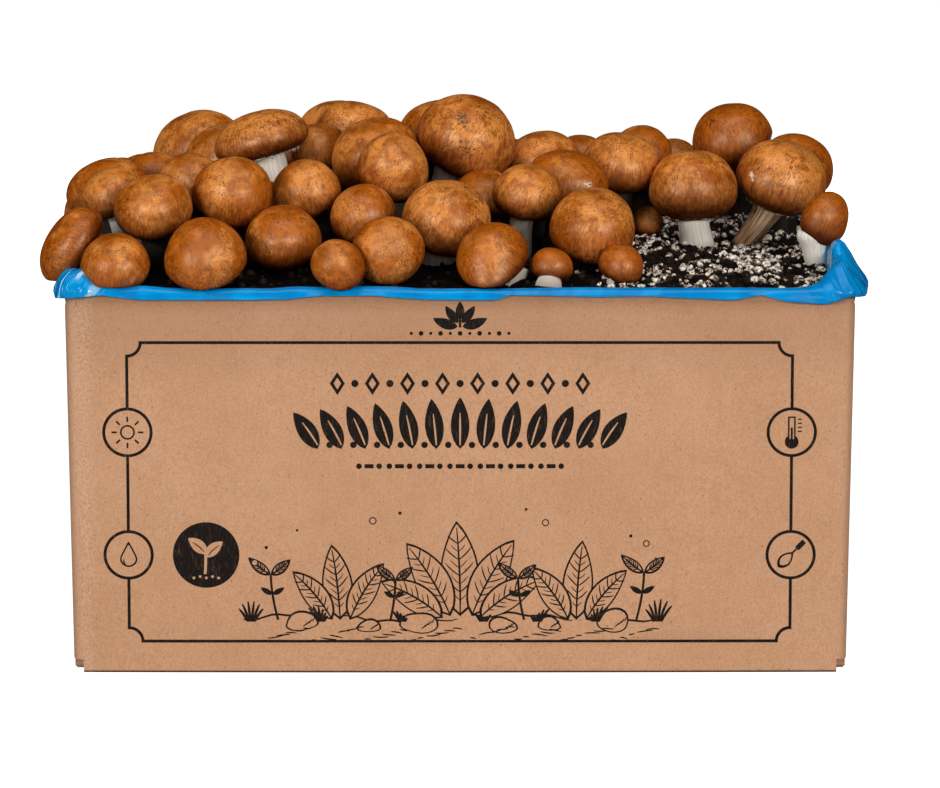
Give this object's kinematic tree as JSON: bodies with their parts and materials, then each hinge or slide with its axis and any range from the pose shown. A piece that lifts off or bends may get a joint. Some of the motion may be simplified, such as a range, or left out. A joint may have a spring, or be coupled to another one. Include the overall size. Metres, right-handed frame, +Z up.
{
  "type": "mushroom grow kit",
  "caption": "Open corrugated carton lined with blue film folded over its rim, filled with dark casing soil that bears a dense crop of brown closed-cup mushrooms.",
  "frame": {"origin": "middle of the carton's footprint, on the surface that it stands on", "axes": "+X to the right along the carton's long side as seen from the front, +Y to the back, +Z up; the printed front faces -Y"},
  "size_m": [0.4258, 0.3185, 0.2863],
  "materials": {
    "kraft_board": "matt brown kraft corrugated board",
    "blue_film": "glossy thin blue polyethylene film, creased",
    "casing": "moist dark crumbly casing soil with white mycelium granules",
    "mushroom": "satin orange-brown caps with fine streaks on off-white fibrous stems"
  },
  "bodies": {
    "root": {"carton": "kraft_board", "film_liner": "blue_film", "casing_soil": "casing", "mushroom_01": "mushroom", "mushroom_02": "mushroom", "mushroom_03": "mushroom", "mushroom_04": "mushroom", "mushroom_05": "mushroom", "mushroom_06": "mushroom", "mushroom_07": "mushroom", "mushroom_08": "mushroom", "mushroom_09": "mushroom", "mushroom_10": "mushroom", "mushroom_11": "mushroom", "mushroom_12": "mushroom", "mushroom_13": "mushroom", "mushroom_14": "mushroom", "mushroom_15": "mushroom", "mushroom_16": "mushroom", "mushroom_17": "mushroom", "mushroom_18": "mushroom", "mushroom_19": "mushroom", "mushroom_20": "mushroom", "mushroom_21": "mushroom", "mushroom_22": "mushroom", "mushroom_23": "mushroom", "mushroom_24": "mushroom", "mushroom_25": "mushroom", "mushroom_26": "mushroom", "mushroom_27": "mushroom", "mushroom_28": "mushroom", "mushroom_29": "mushroom", "mushroom_30": "mushroom", "mushroom_31": "mushroom", "mushroom_32": "mushroom", "mushroom_33": "mushroom", "mushroom_34": "mushroom", "mushroom_35": "mushroom", "mushroom_36": "mushroom", "mushroom_37": "mushroom", "mushroom_38": "mushroom", "mushroom_39": "mushroom", "mushroom_40": "mushroom", "mushroom_41": "mushroom", "mushroom_42": "mushroom", "mushroom_43": "mushroom", "mushroom_44": "mushroom", "mushroom_45": "mushroom", "mushroom_46": "mushroom", "mushroom_47": "mushroom", "mushroom_48": "mushroom", "mushroom_49": "mushroom", "mushroom_50": "mushroom", "mushroom_51": "mushroom", "mushroom_52": "mushroom", "mushroom_53": "mushroom", "mushroom_54": "mushroom", "mushroom_55": "mushroom", "mushroom_56": "mushroom", "mushroom_57": "mushroom"}
  },
  "joints": []
}
